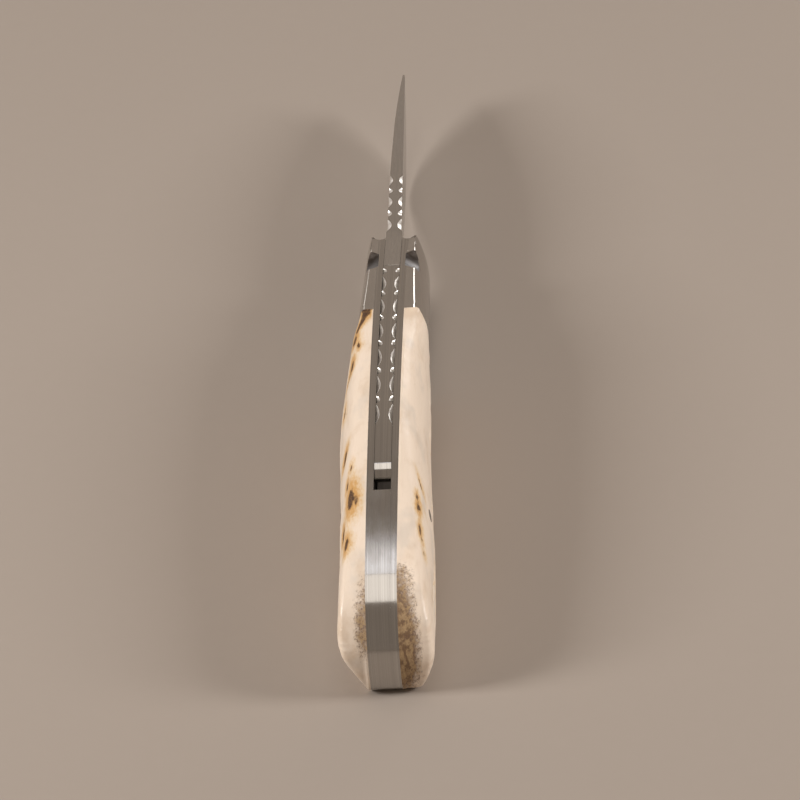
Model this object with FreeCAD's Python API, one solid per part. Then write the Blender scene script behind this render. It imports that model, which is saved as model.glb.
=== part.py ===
import FreeCAD, Part
import math
import os

# Folding pocket knife with a lock bar in its back, open, standing on its belly with the spine up.
# Lengths are in millimetres and angles in degrees. +Y runs to the blade's tip, +Z to the spine.
# A station is a distance along Y from the end of the butt. The origin is under the middle of the whole.
# A setback is measured towards the butt, a reach towards the tip, and a drop down from the spine.

# Whole knife, seen from the side
overall_length = 178.0
handle_length = 115.6
bolster_length = 29.2
spine_apex_share = 0.519
spine_apex_height = 24.5
spine_radius = 246.0
butt_radius = 14.5
butt_corner_radius = 3.0
belly_flat_share = 0.389
belly_rise = 3.5

# Plates, stacked across the knife
blade_thickness = 3.1
blade_side_clearance = 0.05
liner_thickness = 1.3
bolster_thickness = 4.0
bolster_taper = 0.8
scale_thickness = 6.9

# Section of the handle's sides, two arcs that meet at the widest line
section_upper_radius = 32.0
section_lower_radius = 20.0
section_top_angle = 45.0
widest_drop = 11.0
swell_tilt = 55.0

# Blade
pivot_setback = 9.6
pivot_height = 9.0
tang_radius = 6.2
tip_height = 11.0
blade_spine_bow = 2.6
heel_reach = 3.0
heel_height = 3.8
kick_reach = 0.8
kick_height = 4.0
edge_turn_share = 0.503
edge_turn_height = 0.9
edge_thickness = 0.4
plunge_reach = 1.6
plunge_slant = 2.5
tip_thickness = 0.5
fold_angle = 178.0
nick_reach = 18.4
nick_drop = 3.6
nick_length = 13.0
nick_width = 2.2
nick_depth = 0.55

# Lock bar
lock_joint_setback = 3.0
lock_joint_clearance = 0.05
lock_pin_share = 0.571
lock_pin_drop = 4.0
lock_pin_diameter = 2.4
lock_hook_share = 0.88
lock_hook_clearance = 0.15
lock_hook_drop = 4.9
lock_bar_belly_share = 0.536
lock_bar_belly_drop = 7.1
lock_bar_tail_share = 0.3166
lock_bar_tail_depth = 4.2
lock_bar_tail_length = 12.0
lock_bar_tail_radius = 3.0
lock_bar_tail_round_share = 0.9

# Backspacer and leaf spring
release_gap = 4.6
backspacer_nose_depth = 4.0
backspacer_foot_share = 0.173
backspacer_hollow_share = 0.38
backspacer_hollow_height_share = 0.65
spring_room = 0.8
spring_thickness = 0.9
spring_width = 2.6
spring_rise = 0.56
spring_root_share = 0.147
spring_bend_setback = 2.0
spring_tip_reach = 9.4
spring_contact_gap = 0.04
spring_seat_clearance = 0.02

# Pins
pivot_diameter = 4.0
washer_diameter = 10.0
washer_thickness = 0.3
washer_gap = 0.01
pin_diameter = 2.4
rivet_diameter = 2.0
pin_clearance = 0.02
front_pin_setback = 2.9
butt_pin_station = 11.0
butt_pin_height = 8.5
scale_pin_setback = 6.0
scale_pin_height = 9.5
scale_pin_depth = 3.2
upper_rivet_share = 0.35
upper_rivet_drop = 7.8
lower_rivet_share = 0.73
lower_rivet_height = 6.5

# Filed ornament on the lock bar and on the blade's spine
file_depth = 0.5
scallop_length = 5.6
dot_length = 2.1
blade_scallop_length = 4.0
lock_filework_setback = 2.2
lock_filework_pitch = 8.8
lock_filework_count = 6
blade_filework_reach = 3.3
blade_filework_pitch = 7.34
blade_filework_count = 3

# Filed ornament on the bolsters
collar_scoop_setback = 9.6
collar_scoop_radius = 5.4
collar_scoop_depth = 0.75
collar_scoop_tilt = 33.0
collar_scoop_bite = 0.35
cove_radius = 1.2
cove_depth = 1.2
cove_inset = 0.25
cove_tilt = 18.0

# One overrun serves all cuts
overrun = 2.0

# Route of each scale's swell from its bolster to past the butt, whose corners are rounded:
# share of the scale's length, share of the swell.
left_swell_shares = [(0, 0), (0.12, 0.6), (0.27, 1.0), (0.62, 0.61), (1.04, 0.59)]
right_swell_shares = [(0, 0), (0.14, 0.22), (0.36, 0.3), (0.76, 0.84), (1.04, 0.86)]
swell_round_share = 0.4

# Along the ground part of the blade: share of its length, share of the thickness left at the back
blade_taper_shares = [(0, 0.87), (0.3, 0.79), (0.5, 0.67), (0.64, 0.58), (0.78, 0.43)]

# Across the knife
half_blade = blade_thickness / 2
half_slot = half_blade + blade_side_clearance
liner_outer = half_slot + liner_thickness
reach = liner_outer + scale_thickness + bolster_thickness
lift_axis = FreeCAD.Vector(1, 0, 0)

# Along the knife
junction_station = handle_length - bolster_length
spine_apex_station = spine_apex_share * handle_length
spine_centre_height = spine_apex_height - spine_radius
belly_flat_end_station = belly_flat_share * handle_length
belly_run = handle_length - belly_flat_end_station
belly_radius = (belly_run ** 2 + belly_rise ** 2) / (2 * belly_rise)
pivot_station = handle_length - pivot_setback
heel_station = handle_length + heel_reach
kick_station = handle_length + kick_reach
plunge_station = handle_length + plunge_reach
nick_station = handle_length + nick_reach
edge_turn_station = handle_length + edge_turn_share * (overall_length - handle_length)
hook_radius = tang_radius + lock_hook_clearance
hook_rear_station = pivot_station - lock_hook_share * hook_radius
lock_joint_station = pivot_station - lock_joint_setback
lock_pin_station = lock_pin_share * handle_length
lock_bar_belly_station = lock_bar_belly_share * handle_length
lock_bar_tail_station = lock_bar_tail_share * handle_length
backspacer_top_station = lock_bar_tail_station - release_gap
backspacer_foot_station = backspacer_foot_share * handle_length
spring_root_station = spring_root_share * handle_length
spring_bend_station = backspacer_top_station - spring_bend_setback
spring_tip_station = lock_bar_tail_station + spring_tip_reach
front_pin_station = lock_bar_tail_station - front_pin_setback
scale_pin_station = junction_station - scale_pin_setback
rivet_run = pivot_station - washer_diameter / 2 - junction_station
collar_scoop_station = handle_length - collar_scoop_setback


def place(across, station, height):
    """A point of the knife, from its place across, its station and its height."""
    return FreeCAD.Vector(across, station - overall_length / 2, height)


def spine_height(station):
    """Height of the handle's back, an arc with its apex near the middle."""
    return spine_centre_height + math.sqrt(spine_radius ** 2 - (station - spine_apex_station) ** 2)


def belly_height(station):
    """Height of the handle's belly, flat towards the butt and rising to the bolsters."""
    along = max(station - belly_flat_end_station, 0)
    return belly_radius - math.sqrt(belly_radius ** 2 - along ** 2)


# Heights of the lock's pieces, from the spine down
lock_pin_height = spine_height(lock_pin_station) - lock_pin_drop
lock_bar_tail_height = spine_height(lock_bar_tail_station) - lock_bar_tail_depth
spring_root_height = lock_bar_tail_height - spring_contact_gap - spring_rise - spring_thickness
backspacer_nose_top = spring_root_height - spring_room
backspacer_nose_bottom = backspacer_nose_top - backspacer_nose_depth
front_pin_height = backspacer_nose_top - backspacer_nose_depth / 2
upper_rivet_station = junction_station + upper_rivet_share * rivet_run
rivet_places = [(upper_rivet_station, spine_height(upper_rivet_station) - upper_rivet_drop),
                (junction_station + lower_rivet_share * rivet_run, lower_rivet_height)]


def line(start, end):
    """A straight edge between two (station, height) points in the middle plane."""
    return Part.LineSegment(place(0, *start), place(0, *end)).toShape()


def arc(start, middle, end):
    """An arc through three (station, height) points in the middle plane."""
    return Part.Arc(place(0, *start), place(0, *middle), place(0, *end)).toShape()


def turned(centre, radius, angle):
    """The (station, height) point at an angle, in degrees from +Y towards +Z, round a centre."""
    turn = math.radians(angle)
    return (centre[0] + radius * math.cos(turn), centre[1] + radius * math.sin(turn))


def slab(edges, inner, outer):
    """A plate with the given side outline, from one place across to another."""
    face = Part.Face(Part.Wire(Part.__sortEdges__(edges)))
    face.translate(FreeCAD.Vector(inner, 0, 0))
    return face.extrude(FreeCAD.Vector(outer - inner, 0, 0))


def rod(station, height, diameter, inner, outer):
    """A round bar across the knife."""
    return Part.makeCylinder(diameter / 2, outer - inner, place(inner, station, height), lift_axis)


def hole(station, height, diameter):
    """A round cut across the whole knife, with the clearance of a pin."""
    return rod(station, height, diameter + 2 * pin_clearance, -reach, reach)


def stretch(inner, outer, first, last):
    """A block between two stations, taller than the knife."""
    top = spine_apex_height + overrun
    return Part.makeBox(outer - inner, last - first, top + 2 * overrun, place(inner, first, -2 * overrun))


def mirrored(shape):
    """The same shape on the other side of the knife."""
    return shape.mirror(FreeCAD.Vector(0, 0, 0), lift_axis)


def handle_outline():
    """Side outline of the handle: arched back, round butt, belly that rises to the front."""
    butt_height = spine_centre_height + math.sqrt(
        (spine_radius - butt_radius) ** 2 - (spine_apex_station - butt_radius) ** 2)
    back_end_station = butt_radius * (spine_radius - spine_apex_station) / (spine_radius - butt_radius)
    inner_radius = butt_radius - butt_corner_radius
    corner_station = butt_radius - math.sqrt(
        inner_radius ** 2 - (butt_height - butt_corner_radius) ** 2)
    back_lean = math.degrees(math.atan2(butt_height - spine_centre_height, butt_radius - spine_apex_station))
    lean = math.degrees(math.atan2(butt_corner_radius - butt_height, corner_station - butt_radius)) % 360
    butt_middle = turned((butt_radius, butt_height), butt_radius, (back_lean + lean) / 2)
    butt_end = turned((butt_radius, butt_height), butt_radius, lean)
    corner_middle = turned((corner_station, butt_corner_radius), butt_corner_radius, (lean + 270) / 2)
    front_top = (handle_length, spine_height(handle_length))
    apex = (spine_apex_station, spine_apex_height)
    back_end = (back_end_station, spine_height(back_end_station))
    belly_middle = belly_flat_end_station + belly_run / 2
    return [
        arc(front_top, apex, back_end),
        arc(back_end, butt_middle, butt_end),
        arc(butt_end, corner_middle, (corner_station, 0)),
        line((corner_station, 0), (belly_flat_end_station, 0)),
        arc((belly_flat_end_station, 0), (belly_middle, belly_height(belly_middle)),
            (handle_length, belly_rise)),
        line((handle_length, belly_rise), front_top),
    ]


def widest_point():
    """Where the widest line of the right side crosses the junction of bolster and scale."""
    height = spine_height(junction_station) - widest_drop
    return place(liner_outer + bolster_thickness, junction_station, height)


def side_section():
    """Closed section of the handle's right side at the junction, drawn past the middle and the belly."""
    widest = widest_point()
    low_angle = -math.degrees(math.asin((widest.z + overrun) / section_lower_radius))

    def on_arc(radius, angle):
        turn = math.radians(angle)
        return widest + FreeCAD.Vector(radius * math.cos(turn) - radius, 0, radius * math.sin(turn))

    high = on_arc(section_upper_radius, section_top_angle)
    low = on_arc(section_lower_radius, low_angle)
    inner = bolster_thickness - scale_thickness - overrun
    inner_low = FreeCAD.Vector(inner, low.y, low.z)
    inner_high = FreeCAD.Vector(inner, high.y, high.z)
    edges = [
        Part.Arc(high, on_arc(section_upper_radius, section_top_angle / 2), widest).toShape(),
        Part.Arc(widest, on_arc(section_lower_radius, low_angle / 2), low).toShape(),
        Part.LineSegment(low, inner_low).toShape(),
        Part.LineSegment(inner_low, inner_high).toShape(),
        Part.LineSegment(inner_high, high).toShape(),
    ]
    return Part.Face(Part.Wire(edges))


def bolster_form():
    """Rounded body of a right bolster, straight, and falling with the spine towards the front."""
    drop = spine_height(junction_station) - spine_height(handle_length)
    along = FreeCAD.Vector(-bolster_taper, bolster_length, -drop)
    turn = FreeCAD.Rotation(FreeCAD.Vector(0, 1, 0), along)
    margin = FreeCAD.Vector(along).normalize() * 2 * overrun
    face = side_section()
    face.rotate(widest_point(), turn.Axis, math.degrees(turn.Angle))
    face.translate(-margin)
    return face.extrude(along + margin * 2)


def scale_form(swell_shares):
    """Rounded body of a scale on the right: the section led along straight runs and tangent arcs.

    The widest line sinks as it swells, so the route lies in a plane that is tilted outwards and down.
    """
    tilt = math.radians(swell_tilt)
    swell = (scale_thickness - bolster_thickness) / math.cos(tilt)
    back = FreeCAD.Vector(0, -1, 0)
    out = FreeCAD.Vector(math.cos(tilt), 0, -math.sin(tilt))
    axis = back.cross(out)
    corners = [(along * junction_station, share * swell) for along, share in swell_shares]
    runs = list(zip(corners, corners[1:]))
    lengths = [math.dist(start, end) for start, end in runs]
    headings = [math.atan2(end[1] - start[1], end[0] - start[0]) for start, end in runs]
    ways = [back * math.cos(heading) + out * math.sin(heading) for heading in headings]
    rounds = [0] + [swell_round_share * min(pair) for pair in zip(lengths, lengths[1:])] + [0]
    here = widest_point()
    face = side_section()
    face.rotate(here, axis, math.degrees(headings[0]))
    pieces = [face.extrude(ways[0] * -2 * overrun)]
    for index, length in enumerate(lengths):
        step = ways[index] * (length - rounds[index] - rounds[index + 1])
        pieces.append(face.extrude(step))
        face = face.translated(step)
        here = here + step
        if index + 1 < len(lengths):
            turn = headings[index + 1] - headings[index]
            arm = rounds[index + 1]
            spin = axis * math.copysign(1, turn)
            centre = here + ways[index].cross(spin) * (-arm / math.tan(abs(turn) / 2))
            pieces.append(face.revolve(centre, spin, math.degrees(abs(turn))))
            face = face.rotated(centre, spin, math.degrees(abs(turn)))
            here = here + (ways[index] + ways[index + 1]) * arm
    return pieces[0].fuse(pieces[1:]).removeSplitter()


def flush_pin(station, height, diameter, left_form, right_form):
    """A pin through the handle whose ends follow the outer surfaces."""
    middle = rod(station, height, diameter, -half_slot, half_slot)
    right_end = rod(station, height, diameter, half_slot, reach).common(right_form)
    left_end = rod(station, height, diameter, -reach, -half_slot).common(left_form)
    return middle.fuse([right_end, left_end]).removeSplitter()


def file_cut(side, station, height, length):
    """A round file's cut across one top edge, as deep as the filework and as long as asked."""
    radius = length ** 2 / (8 * file_depth) + file_depth / 2
    outward = FreeCAD.Vector(side, 0, 1).normalize()
    along_file = FreeCAD.Vector(side, 0, -1).normalize()
    corner = place(side * half_blade, station, height)
    start = corner + outward * (radius - file_depth) - along_file * blade_thickness
    return Part.makeCylinder(radius, 2 * blade_thickness, start, along_file)


def filework(first, step, lengths, height_at):
    """Cuts of the given lengths along both top edges, evenly spaced from the first one."""
    cuts = []
    for index, length in enumerate(lengths):
        station = first + index * step
        for side in (-1, 1):
            cuts.append(file_cut(side, station, height_at(station), length))
    return cuts


def lock_face_radius():
    """Distance from the lock bar's pin to the face where the bar meets the tang."""
    joint = (lock_joint_station, spine_height(lock_joint_station))
    return math.dist((lock_pin_station, lock_pin_height), joint)


def blade_spine_curve():
    """The blade's back from the bolsters to the tip."""
    front_top = (handle_length, spine_height(handle_length))
    middle_height = (front_top[1] + tip_height) / 2 + blade_spine_bow
    return arc(front_top, ((handle_length + overall_length) / 2, middle_height), (overall_length, tip_height))


def blade_spine_height(station):
    """Height of the blade's back at a station in front of the bolsters."""
    circle = blade_spine_curve().Curve
    along = station - overall_length / 2 - circle.Center.y
    return circle.Center.z + math.sqrt(circle.Radius ** 2 - along ** 2)


def edge_arc_radius():
    """Radius of the edge's sweep to the tip, tangent to the straight part of the edge."""
    slope = math.atan2(edge_turn_height - heel_height, edge_turn_station - heel_station)
    run = overall_length - edge_turn_station
    rise = tip_height - edge_turn_height
    radius = (run ** 2 + rise ** 2) / (2 * (rise * math.cos(slope) - run * math.sin(slope)))
    centre = (edge_turn_station - radius * math.sin(slope), edge_turn_height + radius * math.cos(slope))
    return radius, centre


def edge_height(station):
    """Height of the blade's edge at a station."""
    if station < edge_turn_station:
        share = (station - heel_station) / (edge_turn_station - heel_station)
        return heel_height + share * (edge_turn_height - heel_height)
    radius, centre = edge_arc_radius()
    return centre[1] - math.sqrt(radius ** 2 - (station - centre[0]) ** 2)


def blade_blank():
    """The blade's side outline at full thickness, with its tang."""
    pivot = (pivot_station, pivot_height)
    hook_angle = 180 - math.degrees(math.acos(lock_hook_share))
    kick_margin = math.degrees(2 * lock_hook_clearance / tang_radius)
    kick_root = turned(pivot, tang_radius, hook_angle + fold_angle + kick_margin)
    rear = pivot_station - tang_radius
    front_top = (handle_length, spine_height(handle_length))
    tang_middle = (rear + handle_length) / 2
    tip = (overall_length, tip_height)
    sweep_middle = (edge_turn_station + overall_length) / 2
    edges = [
        arc((rear, spine_height(rear)), (tang_middle, spine_height(tang_middle)), front_top),
        blade_spine_curve(),
        arc(tip, (sweep_middle, edge_height(sweep_middle)), (edge_turn_station, edge_turn_height)),
        line((edge_turn_station, edge_turn_height), (heel_station, heel_height)),
        line((heel_station, heel_height), (kick_station, kick_height)),
        line((kick_station, kick_height), kick_root),
        line(kick_root, pivot),
        line(pivot, (rear, pivot_height)),
        line((rear, pivot_height), (rear, spine_height(rear))),
    ]
    blank = slab(edges, -half_blade, half_blade)
    face_diameter = 2 * (lock_face_radius() + lock_joint_clearance)
    blank = blank.cut(rod(lock_pin_station, lock_pin_height, face_diameter, -reach, reach))
    tang = rod(pivot_station, pivot_height, 2 * tang_radius, -half_blade, half_blade)
    return blank.fuse(tang).removeSplitter()


def grind():
    """What is ground off the right face of the blade, from the back to the edge and to the tip."""
    length = overall_length - plunge_station
    slope = plunge_slant / (blade_spine_height(plunge_station) - edge_height(plunge_station))
    rows = blade_taper_shares + [(1, tip_thickness / blade_thickness)]
    wires = []
    for along, thick in rows:
        station = plunge_station + along * length
        lean = 0 if along else slope
        top = blade_spine_height(station)
        bottom = edge_height(station)
        growth = (thick * half_blade - edge_thickness / 2) / max(top - bottom, overrun)
        outline = [(thick * half_blade + growth * overrun, top + overrun),
                   (edge_thickness / 2 - growth * overrun, bottom - overrun),
                   (blade_thickness, bottom - overrun), (blade_thickness, top + overrun)]
        corners = [place(across, station + lean * (top - height), height) for across, height in outline]
        wires.append(Part.makePolygon(corners + corners[:1]))
    return Part.makeLoft(wires, True, True)


def nail_nick():
    """The crescent cut in the left face that a thumbnail pulls on."""
    height = blade_spine_height(nick_station) - nick_drop
    radius = (nick_length ** 2 / 4 + nick_depth ** 2) / (2 * nick_depth)
    centre = place(-half_blade - radius + nick_depth, nick_station, height - nick_width / 2)
    return Part.makeCylinder(radius, nick_width, centre, FreeCAD.Vector(0, 0, 1))


def make_blade():
    """Blade and tang in one piece."""
    cuts = [grind(), mirrored(grind()), hole(pivot_station, pivot_height, pivot_diameter), nail_nick()]
    lengths = ([blade_scallop_length, dot_length] * blade_filework_count)[:-1]
    cuts += filework(handle_length + blade_filework_reach, blade_filework_pitch / 2, lengths,
                     blade_spine_height)
    return blade_blank().cut(cuts)


def make_lock_bar():
    """Rocking bar: hook behind the tang at the front, round thumb end at the rear."""
    front = lock_joint_station + overrun
    rear = lock_bar_tail_station
    middle = (front + rear) / 2
    hook_rear = hook_rear_station
    hook_root = spine_height(hook_rear) - lock_hook_drop
    belly = (lock_bar_belly_station, spine_height(lock_bar_belly_station) - lock_bar_belly_drop)
    tail_front = rear + lock_bar_tail_length
    edges = [
        arc((front, spine_height(front)), (middle, spine_height(middle)), (rear, spine_height(rear))),
        line((rear, spine_height(rear)), (rear, lock_bar_tail_height)),
        line((rear, lock_bar_tail_height), (tail_front, lock_bar_tail_height)),
        line((tail_front, lock_bar_tail_height), belly),
        line(belly, (hook_rear, hook_root)),
        line((hook_rear, hook_root), (hook_rear, pivot_height)),
        line((hook_rear, pivot_height), (front, pivot_height)),
        line((front, pivot_height), (front, spine_height(front))),
    ]
    bar = slab(edges, -half_blade, half_blade)
    bar = bar.common(rod(lock_pin_station, lock_pin_height, 2 * lock_face_radius(), -reach, reach))
    bar = bar.cut(rod(pivot_station, pivot_height, 2 * hook_radius, -reach, reach))
    rear_edges = [edge for edge in bar.Edges if is_thumb_edge(edge)]
    thumb_radius = min(lock_bar_tail_radius, lock_bar_tail_round_share * lock_bar_tail_depth)
    bar = bar.makeFillet(thumb_radius, rear_edges)
    cuts = [hole(lock_pin_station, lock_pin_height, lock_pin_diameter)]
    lengths = [dot_length, scallop_length] * lock_filework_count
    cuts += filework(lock_joint_station - lock_filework_setback, -lock_filework_pitch / 2, lengths,
                     spine_height)
    return bar.cut(cuts)


def is_thumb_edge(edge):
    """True for the upper rear edge of the lock bar, which is rounded for the thumb."""
    target = place(0, lock_bar_tail_station, spine_height(lock_bar_tail_station))
    return edge.CenterOfMass.distanceToPoint(target) < half_blade / 2


def make_backspacer():
    """Block that holds the liners apart from the butt to the release gap, with a slot for the spring."""
    body = slab(handle_outline(), -half_slot, half_slot)
    top = spine_apex_height + overrun
    nose_station = lock_bar_tail_station
    hollow_run = nose_station - backspacer_foot_station
    hollow = (backspacer_foot_station + backspacer_hollow_share * hollow_run,
              backspacer_hollow_height_share * backspacer_nose_bottom)
    keep = [
        line((-overrun, -overrun), (backspacer_foot_station, -overrun)),
        line((backspacer_foot_station, -overrun), (backspacer_foot_station, 0)),
        arc((backspacer_foot_station, 0), hollow, (nose_station, backspacer_nose_bottom)),
        line((nose_station, backspacer_nose_bottom), (nose_station, backspacer_nose_top)),
        line((nose_station, backspacer_nose_top), (spring_bend_station, backspacer_nose_top)),
        line((spring_bend_station, backspacer_nose_top), (spring_bend_station, spring_root_height)),
        line((spring_bend_station, spring_root_height), (backspacer_top_station, spring_root_height)),
        line((backspacer_top_station, spring_root_height), (backspacer_top_station, top)),
        line((backspacer_top_station, top), (-overrun, top)),
        line((-overrun, top), (-overrun, -overrun)),
    ]
    body = body.common(slab(keep, -reach, reach))
    seat = spring_thickness + 2 * spring_seat_clearance
    slot = Part.makeBox(2 * half_slot, nose_station - spring_root_station, seat,
                        place(-half_slot, spring_root_station, spring_root_height - spring_seat_clearance))
    return body.cut([slot, hole(front_pin_station, front_pin_height, pin_diameter),
                     hole(butt_pin_station, butt_pin_height, pin_diameter)])


def make_lock_spring():
    """Leaf spring: straight root in the backspacer, then a gentle rise to the lock bar's tail."""
    tip_top = lock_bar_tail_height - spring_contact_gap
    rise = tip_top - spring_root_height - spring_thickness
    middle = (spring_bend_station + spring_tip_station) / 2
    low = [(spring_bend_station, spring_root_height), (middle, spring_root_height + rise / 4),
           (spring_tip_station, spring_root_height + rise)]
    high = [(station, height + spring_thickness) for station, height in low]
    root_low = (spring_root_station, spring_root_height)
    root_high = (spring_root_station, spring_root_height + spring_thickness)
    edges = [
        line(root_low, low[0]),
        arc(*low),
        line(low[2], high[2]),
        arc(*high),
        line(high[0], root_high),
        line(root_high, root_low),
    ]
    return slab(edges, -spring_width / 2, spring_width / 2)


def make_liner():
    """Right liner: the handle's whole side outline, with the washer's recess and the pin holes."""
    plate = slab(handle_outline(), half_slot, liner_outer)
    recess_floor = half_slot + washer_thickness - (blade_side_clearance - washer_gap)
    recess = rod(pivot_station, pivot_height, washer_diameter + 2 * pin_clearance, -reach, recess_floor)
    cuts = [recess, collar_scoop()] + front_coves() + liner_holes()
    return plate.cut(cuts)


def liner_holes():
    """Holes for every pin that goes through a liner."""
    cuts = [hole(pivot_station, pivot_height, pivot_diameter),
            hole(lock_pin_station, lock_pin_height, lock_pin_diameter),
            hole(front_pin_station, front_pin_height, pin_diameter),
            hole(butt_pin_station, butt_pin_height, pin_diameter),
            hole(scale_pin_station, scale_pin_height, rivet_diameter)]
    for station, height in rivet_places:
        cuts.append(hole(station, height, rivet_diameter))
    return cuts


def make_washer():
    """Right pivot washer, let into the liner."""
    outer = half_slot + washer_thickness - (blade_side_clearance - washer_gap)
    ring = rod(pivot_station, pivot_height, washer_diameter, outer - washer_thickness, outer)
    return ring.cut(hole(pivot_station, pivot_height, pivot_diameter))


def front_coves():
    """Round cut in the upper front corner beside the blade, leaning out towards the front."""
    lean = math.radians(cove_tilt)
    run = FreeCAD.Vector(0, math.sin(lean), -math.cos(lean))
    station = handle_length + cove_radius - cove_depth
    top = place(liner_outer - cove_inset, station, spine_height(handle_length))
    length = spine_apex_height
    return [Part.makeCylinder(cove_radius, length, top - run * length / 2, run)]


def collar_scoop():
    """Round cut across a bolster's top corner, deeper towards the outside, that leaves a collar in front."""
    tilt = math.radians(collar_scoop_tilt)
    run = FreeCAD.Vector(math.cos(tilt), 0, -math.sin(tilt))
    rise = (collar_scoop_radius - collar_scoop_depth) / math.cos(tilt)
    start = place(liner_outer, collar_scoop_station, spine_height(collar_scoop_station) + rise)
    round_cut = Part.makeCylinder(collar_scoop_radius, 2 * reach, start - run * reach, run)
    inner = liner_outer - collar_scoop_bite
    return round_cut.common(stretch(inner, 2 * reach, junction_station, handle_length))


def make_bolster(form):
    """Right bolster, trimmed to the handle's outline, with its filed scoop and cove."""
    outline = slab(handle_outline(), liner_outer, reach)
    body = form.common(outline).common(stretch(liner_outer, reach, junction_station, handle_length + overrun))
    cuts = [collar_scoop()] + front_coves() + [hole(pivot_station, pivot_height, pivot_diameter)]
    for station, height in rivet_places:
        cuts.append(hole(station, height, rivet_diameter))
    return body.cut(cuts)


def make_scale(form):
    """Right scale, trimmed to the handle's outline, with a pin hole through it and a blind one."""
    outline = slab(handle_outline(), liner_outer, reach)
    body = form.common(outline).common(stretch(liner_outer, reach, -overrun, junction_station))
    blind_hole = rod(scale_pin_station, scale_pin_height, rivet_diameter + 2 * pin_clearance,
                     half_slot, liner_outer + scale_pin_depth + pin_clearance)
    return body.cut([hole(front_pin_station, front_pin_height, pin_diameter), blind_hole])


def make_rivets(form):
    """Rivets through a right liner and its bolster, flush outside."""
    rods = [rod(station, height, rivet_diameter, half_slot, reach) for station, height in rivet_places]
    return Part.makeCompound([bar.common(form) for bar in rods])


def make_parts():
    """Every piece of the knife by name."""
    bolster = bolster_form()
    left_swell = scale_form(left_swell_shares)
    right_swell = scale_form(right_swell_shares)
    rivets = make_rivets(bolster)
    scale_pin = rod(scale_pin_station, scale_pin_height, rivet_diameter,
                    half_slot, liner_outer + scale_pin_depth)
    liner = make_liner()
    washer = make_washer()
    right_bolster = make_bolster(bolster)
    return {
        "blade": make_blade(),
        "lock_bar": make_lock_bar(),
        "lock_spring": make_lock_spring(),
        "backspacer": make_backspacer(),
        "left_liner": mirrored(liner),
        "right_liner": liner,
        "left_bolster": mirrored(right_bolster),
        "right_bolster": right_bolster,
        "left_scale": mirrored(make_scale(left_swell)),
        "right_scale": make_scale(right_swell),
        "pivot_pin": flush_pin(pivot_station, pivot_height, pivot_diameter, mirrored(bolster), bolster),
        "left_pivot_washer": mirrored(washer),
        "right_pivot_washer": washer,
        "lock_bar_pin": rod(lock_pin_station, lock_pin_height, lock_pin_diameter, -liner_outer, liner_outer),
        "backspacer_front_pin": flush_pin(front_pin_station, front_pin_height, pin_diameter,
                                          mirrored(left_swell), right_swell),
        "backspacer_butt_pin": rod(butt_pin_station, butt_pin_height, pin_diameter,
                                   -liner_outer, liner_outer),
        "left_bolster_rivets": mirrored(rivets),
        "right_bolster_rivets": rivets,
        "left_scale_pin": mirrored(scale_pin),
        "right_scale_pin": scale_pin,
    }


os.makedirs("parts", exist_ok=True)
for node, shape in make_parts().items():
    shape.exportStep("parts/" + node + ".step")
    print(node, len(shape.Solids), round(shape.Volume, 2), shape.isValid())
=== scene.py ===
"""Looks of a lock-back pocket knife with stag scales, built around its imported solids."""

import math

import bmesh
import bpy
from mathutils import Matrix, Vector, noise


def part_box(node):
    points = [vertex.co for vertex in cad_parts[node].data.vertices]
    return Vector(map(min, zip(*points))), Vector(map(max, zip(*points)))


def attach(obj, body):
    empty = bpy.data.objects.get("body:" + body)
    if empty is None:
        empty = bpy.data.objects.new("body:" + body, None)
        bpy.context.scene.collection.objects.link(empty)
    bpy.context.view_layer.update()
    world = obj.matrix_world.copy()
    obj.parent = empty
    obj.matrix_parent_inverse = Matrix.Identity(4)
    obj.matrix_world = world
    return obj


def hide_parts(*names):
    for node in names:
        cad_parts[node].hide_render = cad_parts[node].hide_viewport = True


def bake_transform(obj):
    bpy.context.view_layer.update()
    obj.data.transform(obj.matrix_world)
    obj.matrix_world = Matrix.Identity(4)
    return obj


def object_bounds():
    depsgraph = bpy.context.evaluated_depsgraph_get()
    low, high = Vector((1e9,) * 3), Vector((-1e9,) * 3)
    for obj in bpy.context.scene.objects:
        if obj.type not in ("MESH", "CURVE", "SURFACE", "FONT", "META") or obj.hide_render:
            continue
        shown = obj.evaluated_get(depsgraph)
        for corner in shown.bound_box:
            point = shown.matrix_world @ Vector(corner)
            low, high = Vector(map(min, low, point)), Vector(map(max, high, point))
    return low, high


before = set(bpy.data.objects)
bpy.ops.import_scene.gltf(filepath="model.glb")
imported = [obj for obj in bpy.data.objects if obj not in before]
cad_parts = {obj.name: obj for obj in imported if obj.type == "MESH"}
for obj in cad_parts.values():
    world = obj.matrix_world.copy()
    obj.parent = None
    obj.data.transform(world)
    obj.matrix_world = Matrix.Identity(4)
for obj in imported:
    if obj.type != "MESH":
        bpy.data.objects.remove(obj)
cad_low, cad_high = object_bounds()

bl_info = {
    "name": "Lock-back pocket knife",
    "version": (1, 0, 0),
    "blender": (4, 5, 0),
    "location": "View3D > Sidebar > Knife",
    "description": "Finishes a folding knife: brushed frame, polished bolsters and stag scales",
    "category": "Object",
}

# One millimetre in the scene's metres
MM = 0.001

# Sides of the knife seen from the butt, as signs of X
LEFT, RIGHT = -1, 1
SIDES = (("left", LEFT), ("right", RIGHT))

# Butt end of the handle, from which stations along the knife are counted
BUTT = cad_low[1]

# Meshes: how close points are joined and cuts snap, and which angles count as flat and as sharp
MERGE_DISTANCE = 0.002 * MM
CUT_DISTANCE = 0.0005 * MM
FLAT_ANGLE = math.radians(0.4)
SHARP_ANGLE = math.radians(32)
EVEN_WEIGHT = 100

# Steps across a rounded edge
EDGE_SEGMENTS = 2
JOINT_SEGMENTS = 3
SHOULDER_SEGMENTS = 4

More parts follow.
